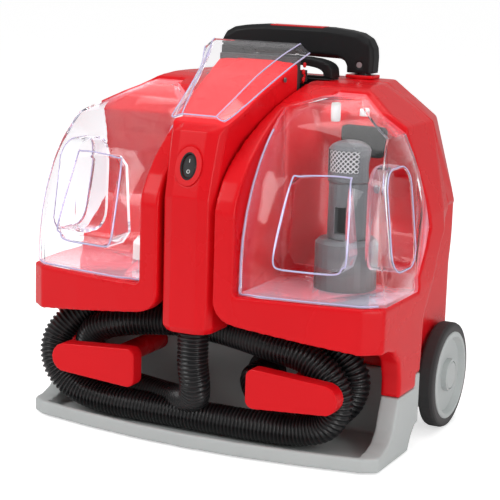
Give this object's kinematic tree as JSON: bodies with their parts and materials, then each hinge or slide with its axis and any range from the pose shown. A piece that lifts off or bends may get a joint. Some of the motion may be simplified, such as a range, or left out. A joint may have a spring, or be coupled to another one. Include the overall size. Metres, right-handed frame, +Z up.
{
  "type": "portable carpet cleaner",
  "caption": "Portable wet carpet cleaner on two wheels: lift-out clean and waste tanks, docked hand tool with its hose wound in a front bay, and a telescopic handle.",
  "frame": {"origin": "on the floor, under the middle of the machine's bounding box with the handle down", "axes": "+Z up, -Y towards the front with the hose bay and the tanks, +X towards the waste tank's side, along the axle"},
  "size_m": [0.4116, 0.29, 0.4197],
  "materials": {
    "red_plastic": "gloss",
    "grey_plastic": "satin",
    "black_plastic": "satin",
    "hose_plastic": "gloss",
    "rubber": "matt",
    "tyre": "matt",
    "standpipe_grey": "satin",
    "clear_plastic": "clear",
    "steel": "satin",
    "mesh": "matt",
    "white_plastic": "satin"
  },
  "bodies": {
    "machine": {"base_tray": "grey_plastic", "foot_left": "rubber", "foot_right": "rubber", "front_shell": "red_plastic", "rear_shell": "red_plastic", "handle_tub": "black_plastic", "carry_handle": "black_plastic", "handle_guide_left": "red_plastic", "handle_guide_right": "red_plastic", "hose_pad_left": "red_plastic", "hose_pad_right": "red_plastic", "hose_socket": "black_plastic", "hose": "hose_plastic", "axle": "steel", "cord_gland": "black_plastic", "exhaust_grille": "black_plastic", "vacuum_motor": "steel", "fan_housing": "black_plastic", "water_pump": "black_plastic"},
    "wheel_left": {"tyre_left": "tyre", "hub_left": "grey_plastic", "hub_cap_left": "grey_plastic"},
    "wheel_right": {"tyre_right": "tyre", "hub_right": "grey_plastic", "hub_cap_right": "grey_plastic"},
    "handle_lower": {"handle_stage_left": "steel", "handle_stage_right": "steel"},
    "handle": {"handle_grip": "black_plastic", "handle_tube_left": "steel", "handle_tube_right": "steel", "handle_screw_left": "steel", "handle_screw_right": "steel"},
    "handle_release": {"handle_button": "red_plastic"},
    "clean_tank": {"clean_tank": "clear_plastic", "clean_tank_valve": "white_plastic"},
    "waste_tank": {"waste_tank": "clear_plastic", "waste_tank_collar": "standpipe_grey", "standpipe": "standpipe_grey", "inlet_screen": "mesh", "outlet_filter": "black_plastic"},
    "float": {"waste_float": "white_plastic"},
    "hand_tool": {"tool_body": "red_plastic", "tool_back_cover": "red_plastic", "tool_hood": "clear_plastic", "rocker_bezel": "red_plastic", "brush_housing": "black_plastic", "brush_motor": "steel", "trigger_pin": "steel", "hose_cuff": "black_plastic"},
    "tool_rocker": {"tool_rocker": "black_plastic"},
    "tool_trigger": {"tool_trigger": "black_plastic"},
    "brush": {"brush_roller": "red_plastic"},
    "fan": {"vacuum_fan": "grey_plastic"},
    "power_switch": {"power_switch": "black_plastic"}
  },
  "joints": [
    {"name": "wheel_left_spin", "type": "hinge", "parent": "machine", "child": "wheel_left", "pos_m": [-0.195, 0.088, 0.057], "axis": [1, 0, 0], "continuous": true},
    {"name": "wheel_right_spin", "type": "hinge", "parent": "machine", "child": "wheel_right", "pos_m": [0.195, 0.088, 0.057], "axis": [1, 0, 0], "continuous": true},
    {"name": "handle_lower_slide", "type": "slide", "parent": "machine", "child": "handle_lower", "axis": [0, 0, 1], "range_m": [0, 0.15]},
    {"name": "handle_slide", "type": "slide", "parent": "handle_lower", "child": "handle", "axis": [0, 0, 1], "range_m": [0, 0.19]},
    {"name": "handle_button_press", "type": "slide", "parent": "handle", "child": "handle_release", "axis": [0, 0, -1], "range_m": [0, 0.004], "stiffness_N_per_m": 600},
    {"name": "clean_tank_lift_off", "type": "slide", "parent": "machine", "child": "clean_tank", "axis": [-0.7071, -0.7071, 0], "range_m": [0, 0.12]},
    {"name": "waste_tank_lift_off", "type": "slide", "parent": "machine", "child": "waste_tank", "axis": [0.7071, -0.7071, 0], "range_m": [0, 0.12]},
    {"name": "float_rise", "type": "slide", "parent": "waste_tank", "child": "float", "axis": [0, 0, 1], "range_m": [0, 0.0095]},
    {"name": "hand_tool_lift_off", "type": "slide", "parent": "machine", "child": "hand_tool", "axis": [0, -0.6, 0.8], "range_m": [0, 0.08]},
    {"name": "tool_rocker_tip", "type": "hinge", "parent": "hand_tool", "child": "tool_rocker", "pos_m": [0, -0.134, 0.292], "axis": [1, 0, 0], "range_deg": [-6, 6]},
    {"name": "tool_trigger_pull", "type": "hinge", "parent": "hand_tool", "child": "tool_trigger", "pos_m": [0, -0.104, 0.214], "axis": [-1, 0, 0], "range_deg": [0, 8], "stiffness_Nm_per_rad": 0.4},
    {"name": "brush_spin", "type": "hinge", "parent": "hand_tool", "child": "brush", "pos_m": [0, 0.031, 0.372], "axis": [1, 0, 0], "continuous": true},
    {"name": "fan_spin", "type": "hinge", "parent": "machine", "child": "fan", "pos_m": [0, 0.075, 0.14], "axis": [0, 0, 1], "continuous": true},
    {"name": "power_switch_tip", "type": "hinge", "parent": "machine", "child": "power_switch", "pos_m": [0.12, 0.126, 0.3], "axis": [1, 0, 0], "range_deg": [-6, 6]}
  ]
}
